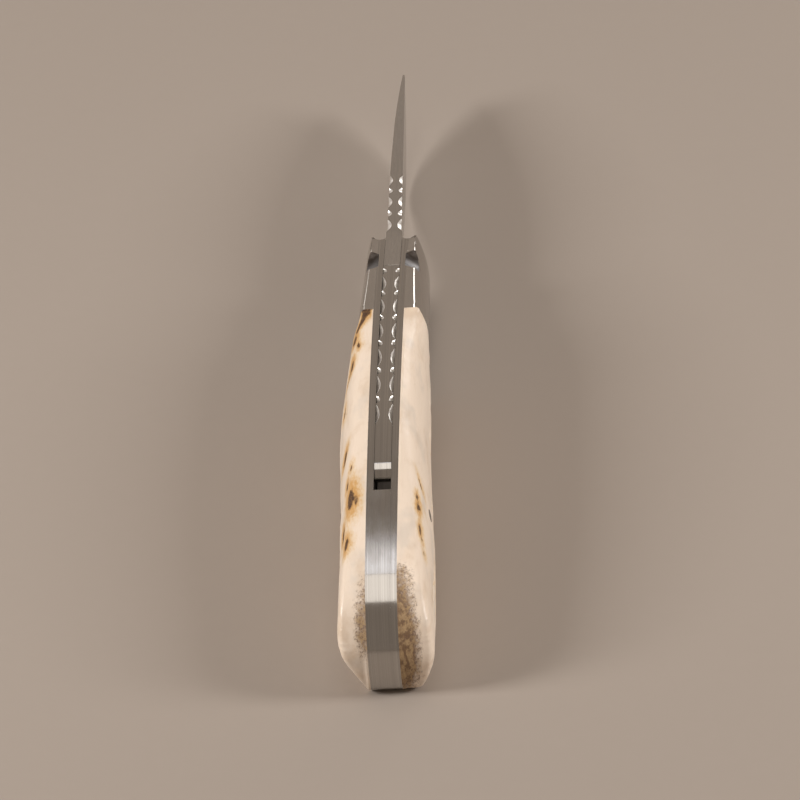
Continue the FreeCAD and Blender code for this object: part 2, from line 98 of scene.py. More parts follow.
# Joint of tang and lock bar: reach of its edges along and down, and their least run across the back
JOINT_REACH = 0.3 * MM
JOINT_RUN = 0.5 * MM

# Filed notches: how far their faces lean outwards and look up, the spine's plain middle, the stretch of spine
# whose top they are measured from, their depth, and how much deeper the blade's are cut
NOTCH_LEAN_LEAST, NOTCH_LEAN_MOST = 0.2, 0.97
NOTCH_RISE = 0.15
SPINE_MIDDLE = 0.4 * MM
SPINE_STRETCH = 5 * MM
NOTCH_DEPTH = 2.2 * MM
BLADE_NOTCH_SHARE = 0.55

# Scoops of the collar: how true their faces run with the file's stroke, how far they look up, and where the
# painted shade in them starts and is full, from the middle of the scoop
STROKE_SLACK = 0.04
SCOOP_RISE = 0.3
SCOOP_SHADE_START = -2.6 * MM
SCOOP_SHADE_FULL = 1.6 * MM

# Shoulders of the bolsters: how true their edges run along, and how far outside and above the middle they lie
SHOULDER_RUN = 0.9
SHOULDER_OUTSIDE = 0.5 * MM
SHOULDER_ABOVE = 4 * MM

# Leaf spring: spacing of the cuts across it
SPRING_STEP = MM

# Steel finishes: roughness, contrast of the brush lines, relief of the brush lines
FINISHES = {
    "blade_steel": (0.18, 0.12, 0.2),
    "frame_steel": (0.125, 0.22, 0.1),
    "bolster_steel": (0.12, 0.07, 0.08),
    "spring_steel": (0.32, 0.2, 0.3),
    "pin_steel": (0.2, 0.08, 0.06),
    "bronze": (0.3, 0.12, 0.1),
    "filed_steel": (0.36, 0.1, 0.3),
}

# Marks on steel: size of a broad band in fine lines, share of the fine lines, depth of a line, shares of the
# roughness on dull and bright lines, smudges and specks, and the share of the scoops' painted shade that
# smudges lift
BAND_LINES = (7, 3, 7)
FINE_SHARE = 0.55
BRUSH_DEPTH = 0.01 * MM
DULL_SHARE, BRIGHT_SHARE = 1.2, 0.85
SMUDGE_SIZE = (6 * MM, 9 * MM, 6 * MM)
SMUDGE_ROUGHNESS = 0.06
SPECK_SIZE = (0.12 * MM, 0.16 * MM, 0.12 * MM)
SPECK_SHADE = 0.6
# Smudges in the scoops' painted shade: their size, and how much of the shade they lift
SCOOP_SHADE_SMUDGE_SIZE = (1.2 * MM, 1.2 * MM, 1.2 * MM)
SCOOP_SHADE_SMUDGE_SHARE = 0.15

# Grain of the stag: size of the patches in each pattern, across, along and up the scale
BLUSH_GRAIN = (5 * MM, 9 * MM, 5 * MM)
TAN_GRAIN = (4.5 * MM, 8 * MM, 4 * MM)
FIBRE_GRAIN = (0.22 * MM, 2.4 * MM, 0.22 * MM)
FRAY_GRAIN = (0.5 * MM, 1.1 * MM, 0.5 * MM)
CRUMB_GRAIN = (0.25 * MM, 0.5 * MM, 0.25 * MM)
PORE_GRAIN = (0.36 * MM, 0.36 * MM, 0.6 * MM)
CLUMP_GRAIN = (0.9 * MM, 0.9 * MM, 2.0 * MM)

# How far the rims of the marks and of the pith wander, how dark the crumbs in the bark are, how much rougher
# bark and pith are than ivory, and the relief of fibres and pores
FRAY_SHARE = 0.75
RAGGED_SHARE = 1.1
CRUMB_SHADE = 0.62
WORN_ROUGHNESS = 0.35
FIBRE_RELIEF_SHARE = 0.25
STAG_RELIEF = 0.12 * MM

# Bark marks of the stag, in millimetres: station, girth, length, width, lean in degrees, strength
BARK_MARKS = {
    LEFT: (
        (85.7, 21.7, 2.8, 2.3, 20, 1.0),
        (83.2, 19.9, 7.6, 2.2, 35, 1.0),
        (79.2, 17.5, 2.8, 3.2, 15, 0.95),
        (75.7, 20.2, 2.8, 1.7, -20, 0.8),
        (71.8, 16.9, 3.1, 2.8, 20, 1.0),
        (70.0, 14.4, 5.3, 1.6, 55, 0.85),
        (62.5, 11.6, 3.2, 2.3, 30, 0.8),
        (60.0, 14.0, 2.8, 1.5, 25, 0.5),
        (47.7, 13.0, 4.4, 2.1, 66, 0.95),
        (40.0, 18.6, 2.6, 2.0, 20, 0.7),
        (37.0, 15.9, 2.9, 2.1, 25, 0.85),
        (31.3, 18.3, 5.8, 3.3, 5, 1.0),
        (30.2, 20.3, 3.0, 1.7, 0, 0.75),
        (25.2, 13.3, 3.9, 2.3, 12, 0.95),
        (20.0, 16.1, 3.7, 2.3, 15, 0.95),
        (24.4, 17.4, 2.5, 1.2, 12, 0.5),
    ),
    RIGHT: (
        (37.1, 15.4, 4.2, 1.3, 48, 0.7),
        (31.9, 17.4, 2.2, 1.6, 0, 0.8),
        (29.5, 16.6, 3.0, 2.0, 8, 0.88),
        (31.0, 13.2, 3.0, 1.0, 50, 0.5),
        (23.8, 15.4, 3.2, 1.8, 10, 0.82),
        (21.9, 14.2, 2.6, 1.4, 18, 0.7),
        (18.8, 13.0, 2.6, 2.0, 10, 0.62),
    ),
}

# Bark marks: reach in millimetres, how fast bark and stain fade, how far from the liner they start
MARK_REACH = 9
BARK_FADE = 0.6
STAIN_FADE = 0.13
MARK_START = 0.2

# Porous core of the antler at the butt, in millimetres: middle height, half width, half height, strength;
# then how far its rim reaches past that and where it fades
PITH = {LEFT: (14.0, 2.6, 6.0, 0.74), RIGHT: (10.4, 4.2, 12.0, 1.1)}
PITH_RIM = 1.35
PITH_STATIONS = (16, 12)

# Rounding of the lower butt corner: share of the width taken off and power of its curve, then where it fades
CORNER_ROUND = {LEFT: (0.95, 1.5), RIGHT: (0.28, 3.0)}
CORNER_HEIGHT = 11 * MM
CORNER_STATIONS = (3 * MM, 18 * MM)

# Swell of the scales behind their bolsters, in millimetres: where the left one is fullest, and the lead, rise
# and fall of the right one; then where both fade
LEFT_SWELL_PEAK = 5
RIGHT_SWELL_LEAD = 0.2
RIGHT_SWELL_RISE = 0.9
RIGHT_SWELL_FALL = 5.5
SWELL_HEIGHTS = (12 * MM, 20 * MM)
SWELL_EASE = 2 * MM

# Cuts in the scales: height that those along the scale turn about, and reach of the extra ones at the butt
HEART_HEIGHT = 11 * MM
BUTT_CUT_LENGTH = 14 * MM
BUTT_CUT_WIDTH = 7 * MM

# Seats of the scales: what counts as against the liner, how far from the liner, the bolster and the pin the
# surface gets free to move, and the least freedom and the strength of the smoothing
LINER_SLACK = 0.005 * MM
LINER_EASE = 1.2 * MM
BOLSTER_EASE = 1.5 * MM
PIN_EASE = 1.0 * MM
SMOOTH_FREEDOM = 0.3
SMOOTH_SHARE = 0.5

# Relief of the scales, in millimetres: length and height of each pattern's patches, how far apart the
# patterns are taken, and how far the furrows bend
SWELL_PATCH = (9, 5)
RIPPLE_PATCH = (3.2, 0.9)
BEND_PATCH = (14, 9)
LINE_PATCH = (6.5, 1.25)
GAP_PATCH = (11, 4)
SIDE_APART = 40.0
LINE_APART = 7
GAP_APART = 19
BEND_REACH = 1.6

# Where relief and stain of the scales fade in, as pairs of none and full: how far a face looks sideways,
# stations and heights in millimetres, and levels of the furrows' two patterns
FLANK_LEAN = (0.35, 0.75)
FURROW_STATIONS = (5, 14)
FURROW_TOP = (14.5, 10.5)
FURROW_FOOT = (1.5, 4.0)
LINE_LEVELS = (-0.02, 0.36)
GAP_LEVELS = (0.3, 0.6)
FLANK_HEIGHTS = (21.5, 15.5)
LOW_FLANK_HEIGHTS = (14.5, 8.5)
LOW_FLANK_STATIONS = (6, 18)

# Strength of the bark in the furrows, of the stain on the flanks, and of its even and its rippled part
FURROW_BARK = 0.85
FLANK_STAIN = {LEFT: 0.34, RIGHT: 0.12}
LOW_FLANK_STAIN = 0.5
EVEN_STAIN, RIPPLED_STAIN = 0.6, 0.8

# Floor: half width, tooth of the paper
FLOOR_REACH = 6
TOOTH_SIZE = (3 * MM, 3 * MM, 3 * MM)
TOOTH_SHADE = 0.02

# Share of a direction that points past the blade, where the room is dim and where it is bright
ROOM_SHARES = (0.56, 0.8)

# Soft lights aimed at the origin: name, turn from the blade's direction and rise above the floor in degrees,
# distance, width and height in metres, power in watts, colour
WARM, PLAIN, COOL = (1, 0.95, 0.9), (1, 0.98, 0.96), (0.92, 0.935, 1)
LIGHTS = (
    ("left light", -103, 30, 0.78, 0.2, 0.26, 4.7, PLAIN),
    ("right light", 97, 28, 0.78, 0.2, 0.26, 3.7, PLAIN),
    ("front top light", 0, 65.4, 0.884, 0.5, 0.06, 0.15, COOL),
    ("top light", 0, 90.4, 0.936, 0.5, 0.77, 1.45, WARM),
    ("front left card", -30, 12, 0.8, 0.24, 0.2, 0.14, PLAIN),
    ("front right card", 28, 13, 0.8, 0.24, 0.24, 0.8, PLAIN),
)

# Camera: width of its sensor in millimetres, nearest and farthest distance in metres
SENSOR_WIDTH = 36
CLIP_START, CLIP_END = 0.01, 20


# Values that a user can change

def colour_value(name, description, default):
    """A colour."""
    return bpy.props.FloatVectorProperty(name=name, description=description, subtype="COLOR", size=3,
                                         min=0, max=1, default=default)


def length_value(name, description, default):
    """A length in metres."""
    return bpy.props.FloatProperty(name=name, description=description, unit="LENGTH", default=default)


def angle_value(name, description, degrees):
    """An angle, given in degrees."""
    return bpy.props.FloatProperty(name=name, description=description, subtype="ANGLE",
                                   default=math.radians(degrees))


def line_value(name, description, default):
    """Size of one line across, along and up the knife."""
    return bpy.props.FloatVectorProperty(name=name, description=description, subtype="XYZ", unit="LENGTH",
                                         size=3, default=default)


class KnifeSteelProperties(bpy.types.PropertyGroup):
    """Colours, lines and edges of the metal pieces."""

    blade_colour: colour_value("Blade colour", "Satin steel of the blade", (0.60, 0.585, 0.56))
    frame_colour: colour_value(
        "Frame colour", "Brushed steel of the liners, lock bar and backspacer", (0.56, 0.54, 0.51))
    bolster_colour: colour_value("Bolster colour", "Polished steel of the bolsters", (0.60, 0.58, 0.55))
    # The two scoop colours are painted shade: dark against the collar, lighter and bluish-grey at the scoops'
    # rear rim
    scoop_shade_colour: colour_value(
        "Patina colour", "Darkened steel in the filed scoops of the collar", (0.06, 0.048, 0.04))
    scoop_rim_shade_colour: colour_value(
        "Patina rim colour", "Thinner patina at the rear rim of the scoops", (0.27, 0.27, 0.28))
    spring_colour: colour_value("Spring colour", "Tempered steel of the leaf spring", (0.40, 0.40, 0.42))
    pin_colour: colour_value("Pin colour", "Ground ends of the pins and rivets", (0.60, 0.59, 0.57))
    filed_colour: colour_value("Filed colour", "Bright steel in the filed notches", (0.93, 0.91, 0.88))
    bronze_colour: colour_value("Bronze colour", "Lapped bronze of the pivot washers", (0.70, 0.50, 0.30))
    satin_line: line_value(
        "Satin line", "Brush line of the blade and the spring", (0.05 * MM, 9 * MM, 0.05 * MM))
    frame_line: line_value(
        "Frame line", "Brush line of the back, which runs on round the butt", (0.05 * MM, 36 * MM, 36 * MM))
    polish_line: line_value(
        "Polish line", "Faint line of the bolsters, pins and washers", (0.1 * MM, 3 * MM, 0.1 * MM))
    file_stroke: line_value(
        "File stroke", "Stroke of the file in the notches", (0.4 * MM, 0.06 * MM, 0.06 * MM))
    seam_edge: length_value("Seam edge", "Eased width where two plates meet", 0.015 * MM)
    blade_edge: length_value("Blade edge", "Eased width on the blade", 0.02 * MM)
    bolster_edge: length_value("Bolster edge", "Eased width on the bolsters", 0.07 * MM)
    joint_edge: length_value("Joint edge", "Eased width where the tang meets the lock bar", 0.1 * MM)
    shoulder_round: length_value("Shoulder round", "Rounding of the bolsters' long top edges", 0.5 * MM)
    scoop_setback: length_value("Scoop setback", "Middle of the scoops behind the collar's front", 9.6 * MM)
    scoop_radius: length_value("Scoop radius", "Radius of the file that cut the scoops", 5.4 * MM)
    scoop_tilt: angle_value("Scoop tilt", "Fall of the scoops towards the outside", 33)


class KnifeStagProperties(bpy.types.PropertyGroup):
    """Colours and relief of the stag scales."""

    ivory_colour: colour_value("Ivory", "Polished body of the antler", (0.82, 0.695, 0.572))
    blush_colour: colour_value("Blush", "Duller pink patches of the antler", (0.70, 0.605, 0.51))
    tan_colour: colour_value("Tan", "Shaded patches of the antler", (0.62, 0.47, 0.33))
    stain_colour: colour_value("Stain", "Orange stain round the bark marks", (0.58, 0.31, 0.09))
    halo_colour: colour_value("Halo", "Yellow-tan rim of the stain", (0.72, 0.52, 0.29))
    bark_colour: colour_value("Bark", "Dark bark left in the hollows", (0.065, 0.027, 0.011))
    pith_shade_colour: colour_value("Pith shade", "Darker clumps of the porous core", (0.19, 0.11, 0.055))
    pith_colour: colour_value("Pith", "Porous core of the antler", (0.40, 0.27, 0.14))
    pore_colour: colour_value("Pores", "Dark pores at the rim of the core", (0.13, 0.075, 0.055))
    mesh_step: length_value("Mesh step", "Spacing of the cuts that carry the relief", 0.45 * MM)
    mesh_turn: angle_value("Mesh turn", "Angle between the cuts that run along the scale", 1.8)
    swell_depth: length_value("Swell depth", "Depth of the broad hollows", 0.22 * MM)
    ripple_depth: length_value("Ripple depth", "Depth of the fine ripple along the antler", 0.04 * MM)
    bark_depth: length_value("Bark depth", "Depth of the bark marks", 0.2 * MM)
    furrow_depth: length_value("Furrow depth", "Depth of the furrows on the outer side", 0.35 * MM)
    left_swell: length_value("Left swell", "Fullness of the left scale behind its bolster", 0.7 * MM)
    right_swell: length_value("Right swell", "Fullness of the right scale just behind its bolster", 1.7 * MM)
    round_steps: bpy.props.IntProperty(
        name="Rounding steps", description="How often the hand-rounded edges are smoothed", default=90)


class KnifeStageProperties(bpy.types.PropertyGroup):
    """Floor, room and camera."""

    floor_colour: colour_value("Floor colour", "Colour of the plain floor", (0.355, 0.306, 0.266))
    room_colour: colour_value("Room colour", "Even light of the room past the blade", (0.37, 0.305, 0.255))
    shade_colour: colour_value("Shade colour", "Dimmer rest of the room", (0.275, 0.226, 0.187))
    camera_azimuth: angle_value(
        "Camera azimuth", "Turn of the camera round the knife from straight behind the butt", 4.513)
    camera_elevation: angle_value(
        "Camera elevation", "Height of the camera above the floor as an angle", 37.886)
    camera_roll: angle_value("Camera roll", "Turn of the picture about the line of sight", 5.31)
    camera_distance: length_value("Camera distance", "Distance from the camera to its aim", 1600.8 * MM)
    camera_aim: bpy.props.FloatVectorProperty(
        name="Camera aim", description="Point of the knife at the middle of the picture",
        subtype="TRANSLATION", default=(1.61 * MM, -16.49 * MM, 11.91 * MM))
    camera_lens: bpy.props.FloatProperty(
        name="Lens", description="Focal length in millimetres on a 36 mm sensor", default=383.24)


# Node helpers

def feed(tree, socket, source):
    """Links a socket to another, or gives it a plain value."""
    if isinstance(source, bpy.types.NodeSocket):
        tree.links.new(source, socket)
    else:
        socket.default_value = source


def blend_colour(tree, factor, first, second):
    """Mixes two colours by a factor."""
    node = tree.nodes.new("ShaderNodeMix")
    node.data_type = "RGBA"
    feed(tree, node.inputs[0], factor)
    for index, source in ((6, first), (7, second)):
        feed(tree, node.inputs[index], source if isinstance(source, bpy.types.NodeSocket) else (*source, 1))
    return node.outputs[2]


def reckon(tree, operation, first, second):
    """Works out a value from two others."""
    node = tree.nodes.new("ShaderNodeMath")
    node.operation = operation
    feed(tree, node.inputs[0], first)
    feed(tree, node.inputs[1], second)
    return node.outputs[0]


def add_share(tree, base, value, share):
    """Adds a share of a value to another."""
    return reckon(tree, "ADD", base, reckon(tree, "MULTIPLY", value, share))


def spread(tree, value, low, high, to_low=0.0, to_high=1.0):
    """Moves a value smoothly from one range to another."""
    node = tree.nodes.new("ShaderNodeMapRange")
    node.interpolation_type = "SMOOTHSTEP"
    feed(tree, node.inputs["Value"], value)
    for name, source in (("From Min", low), ("From Max", high), ("To Min", to_low), ("To Max", to_high)):
        feed(tree, node.inputs[name], source)
    return node.outputs["Result"]


def cloud(tree, place, size, detail, roughness):
    """Soft noise whose patches are about as large as size."""
    node = tree.nodes.new("ShaderNodeTexNoise")
    node.inputs["Scale"].default_value = 1.0
    node.inputs["Detail"].default_value = detail
    node.inputs["Roughness"].default_value = roughness
    shrink = tree.nodes.new("ShaderNodeVectorMath")
    shrink.operation = "DIVIDE"
    feed(tree, shrink.inputs[0], place)
    feed(tree, shrink.inputs[1], size)
    tree.links.new(shrink.outputs[0], node.inputs["Vector"])
    return node.outputs["Fac"]


def wander(tree, noise_value, share):
    """Noise made to swing about zero by a share."""
    return reckon(tree, "MULTIPLY", reckon(tree, "SUBTRACT", noise_value, 0.5), share)


def object_place(tree):
    """Place on the piece in its own metres."""
    return tree.nodes.new("ShaderNodeTexCoord").outputs["Object"]


def painted(tree, name):
    """Value painted on the mesh under a name."""
    node = tree.nodes.new("ShaderNodeAttribute")
    node.attribute_name = name
    return node.outputs["Fac"]


def raise_surface(tree, shader, height, distance, strength):
    """Small relief from a height."""
    node = tree.nodes.new("ShaderNodeBump")
    node.inputs["Distance"].default_value = distance
    node.inputs["Strength"].default_value = strength
    tree.links.new(height, node.inputs["Height"])
    tree.links.new(node.outputs["Normal"], shader.inputs["Normal"])


# Effects shared by the materials

def open_group(name, inputs, outputs):
    """Empty node group with named sockets."""
    group = bpy.data.node_groups.new(name, "ShaderNodeTree")
    for socket, kind in inputs:
        group.interface.new_socket(socket, in_out="INPUT", socket_type=kind)
    for socket in outputs:
        group.interface.new_socket(socket, in_out="OUTPUT", socket_type="NodeSocketFloat")
    return group, group.nodes.new("NodeGroupInput"), group.nodes.new("NodeGroupOutput")


def brush_marks():
    """Fine lines that a belt leaves along the steel."""
    if "brush_marks" in bpy.data.node_groups:
        return bpy.data.node_groups["brush_marks"]
    group, start, end = open_group("brush_marks", [("Line", "NodeSocketVector")], ["Tone", "Height"])
    place = object_place(group)
    fine = cloud(group, place, start.outputs["Line"], detail=3, roughness=0.6)
    broad = group.nodes.new("ShaderNodeVectorMath")
    broad.operation = "MULTIPLY"
    group.links.new(start.outputs["Line"], broad.inputs[0])
    broad.inputs[1].default_value = BAND_LINES
    band = cloud(group, place, broad.outputs[0], detail=2, roughness=0.5)
    tone = add_share(group, reckon(group, "MULTIPLY", fine, FINE_SHARE), band, 1 - FINE_SHARE)
    group.links.new(spread(group, tone, low=0.32, high=0.68), end.inputs["Tone"])
    group.links.new(fine, end.inputs["Height"])
    return group


def handling_marks():
    """Smudges left by hands and small specks."""
    if "handling_marks" in bpy.data.node_groups:
        return bpy.data.node_groups["handling_marks"]
    group, start, end = open_group("handling_marks", [("Size", "NodeSocketVector")], ["Smudge", "Speck"])
    place = object_place(group)
    smudge = cloud(group, place, start.outputs["Size"], detail=4, roughness=0.62)
    group.links.new(spread(group, smudge, low=0.42, high=0.7), end.inputs["Smudge"])
    speck = cloud(group, place, SPECK_SIZE, detail=2, roughness=0.5)
    group.links.new(spread(group, speck, low=0.6, high=0.8), end.inputs["Speck"])
    return group


def place_group(tree, group, **inputs):
    """A shared effect with this material's own values."""
    node = tree.nodes.new("ShaderNodeGroup")
    node.node_tree = group
    for name, value in inputs.items():
        feed(tree, node.inputs[name], value)
    return node.outputs


# Materials

def start_material(name, metallic=0):
    """Empty material with its shader."""
    material = bpy.data.materials.new(name)
    material.use_nodes = True
    shader = material.node_tree.nodes["Principled BSDF"]
    shader.inputs["Metallic"].default_value = metallic
    return material, material.node_tree, shader


def finish_surface(tree, shader, colour, roughness):
    """Gives a shader its colour and its roughness."""
    feed(tree, shader.inputs["Base Color"], colour)
    feed(tree, shader.inputs["Roughness"], roughness)


def darker(colour, share):
    """A colour brought down by a share."""
    return tuple(part * (1 - share) for part in colour)


def steel_material(name, colour, line):
    """Metal with brush lines of a size, smudges and small specks."""
    roughness, contrast, relief = FINISHES[name]
    material, tree, shader = start_material(name, metallic=1)
    brush = place_group(tree, brush_marks(), Line=line)
    marks = place_group(tree, handling_marks(), Size=SMUDGE_SIZE)
    brushed = blend_colour(tree, brush["Tone"], darker(colour, contrast), colour)
    speck = reckon(tree, "MULTIPLY", marks["Speck"], contrast)
    specked = blend_colour(tree, speck, brushed, darker(colour, SPECK_SHADE))
    rough = spread(tree, brush["Tone"], low=0, high=1,
                   to_low=roughness * DULL_SHARE, to_high=roughness * BRIGHT_SHARE)
    finish_surface(tree, shader, specked, add_share(tree, rough, marks["Smudge"], SMUDGE_ROUGHNESS))
    raise_surface(tree, shader, brush["Height"], distance=BRUSH_DEPTH, strength=relief)
    return material


def filed_material(look):
    """Bright frosted steel left by the file in the notches of the spine."""
    if "filed_steel" in bpy.data.materials:
        return bpy.data.materials["filed_steel"]
    return steel_material("filed_steel", look.filed_colour, look.file_stroke)


def scoop_shade_material(look):
    """Painted shade in the scoops, darkest against the collar and lighter towards their rear rim."""
    if "scoop_painted_shade" in bpy.data.materials:
        return bpy.data.materials["scoop_painted_shade"]
    material, tree, shader = start_material("scoop_painted_shade", metallic=1)
    part = tree.nodes.new("ShaderNodeSeparateXYZ")
    tree.links.new(object_place(tree), part.inputs[0])
    station = scoop_station(look)
    marks = place_group(tree, handling_marks(), Size=SCOOP_SHADE_SMUDGE_SIZE)
    # Painted shade grows from the rear rim to full against the collar, and smudges lift it a little
    shade_share = spread(tree, part.outputs["Y"], low=station + SCOOP_SHADE_START, high=station + SCOOP_SHADE_FULL)
    shade_share = add_share(tree, shade_share, marks["Smudge"], -SCOOP_SHADE_SMUDGE_SHARE)
    tone = blend_colour(tree, shade_share, look.scoop_rim_shade_colour, look.scoop_shade_colour)
    rough = spread(tree, marks["Smudge"], low=0, high=1, to_low=0.4, to_high=0.52)
    finish_surface(tree, shader, tone, rough)
    raise_surface(tree, shader, marks["Speck"], distance=BRUSH_DEPTH, strength=0.3)
    return material


def stag_ground(tree, look, place, fibre):
    """Colour of the polished antler: ivory with blush and tan clouds and fine fibres."""
    patch = cloud(tree, place, BLUSH_GRAIN, detail=3, roughness=0.55)
    patch = spread(tree, patch, low=0.47, high=0.7)
    colour = blend_colour(tree, patch, look.ivory_colour, look.blush_colour)
    shade = cloud(tree, place, TAN_GRAIN, detail=4, roughness=0.6)
    shade = spread(tree, shade, low=0.47, high=0.72, to_high=0.5)
    colour = blend_colour(tree, shade, colour, look.tan_colour)
    return blend_colour(tree, spread(tree, fibre, low=0.52, high=0.8, to_high=0.22), colour, look.tan_colour)


def stag_marks(tree, look, place, colour):
    """Adds the bark marks with their stain and halo; gives the colour and the bark's mask."""
    fray = cloud(tree, place, FRAY_GRAIN, detail=4, roughness=0.65)
    fray = wander(tree, fray, FRAY_SHARE)
    stain = reckon(tree, "ADD", painted(tree, "stain"), fray)
    halo = spread(tree, stain, low=0.22, high=0.72, to_high=0.85)
    colour = blend_colour(tree, halo, colour, look.halo_colour)
    ring = spread(tree, stain, low=0.48, high=0.85, to_high=0.9)
    colour = blend_colour(tree, ring, colour, look.stain_colour)
    bark = spread(tree, reckon(tree, "ADD", painted(tree, "bark"), fray), low=0.46, high=0.76)
    crumb = cloud(tree, place, CRUMB_GRAIN, detail=3, roughness=0.6)
    tone = blend_colour(tree, spread(tree, crumb, low=0.45, high=0.75), look.bark_colour,
                        darker(look.stain_colour, CRUMB_SHADE))
    return blend_colour(tree, bark, colour, tone), bark


def stag_core(tree, look, place, colour, pore):
    """Adds the porous core with the pores at its rim; gives the colour and the core's mask."""
    clump = cloud(tree, place, CLUMP_GRAIN, detail=4, roughness=0.65)
    depth = reckon(tree, "ADD", painted(tree, "pith"), wander(tree, clump, RAGGED_SHARE))
    core = spread(tree, depth, low=0.22, high=0.9)
    tone = blend_colour(tree, spread(tree, clump, low=0.4, high=0.6), look.pith_shade_colour,
                        look.pith_colour)
    colour = blend_colour(tree, core, colour, tone)
    inside = spread(tree, depth, low=1.25, high=0.75, to_low=0.3, to_high=0.7)
    rim = reckon(tree, "MULTIPLY", inside, spread(tree, depth, low=0.18, high=0.5))
    speck = reckon(tree, "MULTIPLY", spread(tree, pore, low=0.46, high=0.64), rim)
    return blend_colour(tree, speck, colour, look.pore_colour), core


def stag_material(look):
    """Antler: clouded ivory, stained bark marks and a porous core at the butt."""
    material, tree, shader = start_material("stag")
    place = object_place(tree)
    fibre = cloud(tree, place, FIBRE_GRAIN, detail=3, roughness=0.6)
    pore = cloud(tree, place, PORE_GRAIN, detail=3, roughness=0.7)
    colour = stag_ground(tree, look, place, fibre)
    colour, bark = stag_marks(tree, look, place, colour)
    colour, core = stag_core(tree, look, place, colour, pore)
    worn = reckon(tree, "MAXIMUM", bark, core)
    rough = spread(tree, fibre, low=0.3, high=0.8, to_low=0.3, to_high=0.42)
    finish_surface(tree, shader, colour, add_share(tree, rough, worn, WORN_ROUGHNESS))
    height = add_share(tree, reckon(tree, "MULTIPLY", pore, worn), fibre, FIBRE_RELIEF_SHARE)
    raise_surface(tree, shader, height, distance=STAG_RELIEF, strength=0.5)
    return material


def floor_material(colour):
    """Plain matt paper with a hardly visible tooth."""
    material, tree, shader = start_material("floor")
    tooth = cloud(tree, object_place(tree), TOOTH_SIZE, detail=3, roughness=0.6)
    tone = blend_colour(tree, tooth, darker(colour, TOOTH_SHADE), colour)
    finish_surface(tree, shader, tone, roughness=0.9)
    shader.inputs["Specular IOR Level"].default_value = 0.1
    return material


# Mesh helpers

def smooth_step(value):
    """Eases a share from 0 to 1."""
    value = min(max(value, 0.0), 1.0)
    return value * value * (3 - 2 * value)


def ease(value, none, full):
    """Eases from 0 where a value is none to 1 where it is full."""
    return smooth_step((value - none) / (full - none))


def merged_copy(node):
    """A bmesh of a solid's own surface, with its loose triangles joined and its flats made whole."""
    mesh = bmesh.new()
    mesh.from_mesh(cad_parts[node].data)
    bmesh.ops.remove_doubles(mesh, verts=mesh.verts, dist=MERGE_DISTANCE)
    bmesh.ops.dissolve_limit(mesh, angle_limit=FLAT_ANGLE, verts=mesh.verts, edges=mesh.edges)
    return mesh


def sharp_edges(mesh):
    """Edges where two faces meet at a real corner."""
    return [edge for edge in mesh.edges if edge.is_manifold and edge.calc_face_angle() > SHARP_ANGLE]


def round_edges(mesh, edges, width, segments, clamp=True):
    """Rounds edges to a width."""
    bmesh.ops.bevel(mesh, geom=edges, offset=width, offset_type="OFFSET", segments=segments, profile=0.5,
                    affect="EDGES", clamp_overlap=clamp, material=-1)


def cut_across(mesh, point, normal, faces=None):
    """Cuts a mesh, or some of its faces, along a plane."""
    if faces is None:
        geometry = [*mesh.verts, *mesh.edges, *mesh.faces]
    else:
        edges = {edge for face in faces for edge in face.edges}
        verts = {vert for face in faces for vert in face.verts}
        geometry = [*verts, *edges, *faces]
    bmesh.ops.bisect_plane(mesh, geom=geometry, dist=CUT_DISTANCE, plane_co=point, plane_no=normal)


def add_piece(mesh, name, body, materials):
    """Makes an object from a bmesh, smooth between its sharp edges, riding on a body if one is given."""
    data = bpy.data.meshes.new(name)
    mesh.to_mesh(data)
    mesh.free()
    data.shade_smooth()
    data.set_sharp_from_angle(angle=SHARP_ANGLE)
    piece = bpy.data.objects.new(name, data)
    bpy.context.scene.collection.objects.link(piece)
    for material in materials:
        data.materials.append(material)
    if body is not None:
        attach(piece, body)
    return piece


def even_flats(piece):
    """Keeps the shading of flats even up to their eased edges."""
    weigh = piece.modifiers.new("even_flats", "WEIGHTED_NORMAL")
    weigh.keep_sharp = True
    weigh.weight = EVEN_WEIGHT


def joint_edges(mesh):
    """Top edges across the back where the tang meets the lock bar."""
    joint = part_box("lock_bar")[1][1]
    near = [vert for vert in mesh.verts if abs(vert.co.y - joint) < JOINT_REACH]
    top = max(vert.co.z for vert in near)
    corner = {vert for vert in near if vert.co.z > top - JOINT_REACH}
    return [edge for edge in sharp_edges(mesh) if corner.issuperset(edge.verts)
            and abs(edge.verts[0].co.x - edge.verts[1].co.x) > JOINT_RUN]


def polish_notches(mesh):
    """Gives the notches filed into the spine's edges the second material."""
    for face in mesh.faces:
        centre = face.calc_center_median()
        leans = NOTCH_LEAN_LEAST < abs(face.normal.x) < NOTCH_LEAN_MOST
        if not leans or face.normal.z <= NOTCH_RISE or abs(centre.x) < SPINE_MIDDLE:
            continue
        top = max(vert.co.z for vert in mesh.verts if abs(vert.co.y - centre.y) < SPINE_STRETCH)
        if centre.z > top - NOTCH_DEPTH:
            face.material_index = 1


def deepen_notches(mesh, share):
    """Files the polished notches deeper by a share, each from its own outer edge."""
    waiting = {face for face in mesh.faces if face.material_index == 1}
    while waiting:
        notch, reached = set(), [waiting.pop()]
        while reached:
            face = reached.pop()
            notch.add(face)
            for other in {near for edge in face.edges for near in edge.link_faces} & waiting:
                waiting.discard(other)
                reached.append(other)
        verts = {vert for face in notch for vert in face.verts}
        rim = max(abs(vert.co.x) for vert in verts)
        for vert in verts:
            vert.co.x *= (rim - (rim - abs(vert.co.x)) * (1 + share)) / abs(vert.co.x)
    mesh.normal_update()


def file_blade(mesh):
    """Brightens the blade's filework and cuts it deeper."""
    polish_notches(mesh)
    deepen_notches(mesh, BLADE_NOTCH_SHARE)


def scoop_station(look):
    """Where along the knife the collar's scoops were filed."""
    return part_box("left_bolster")[1][1] - look.scoop_setback


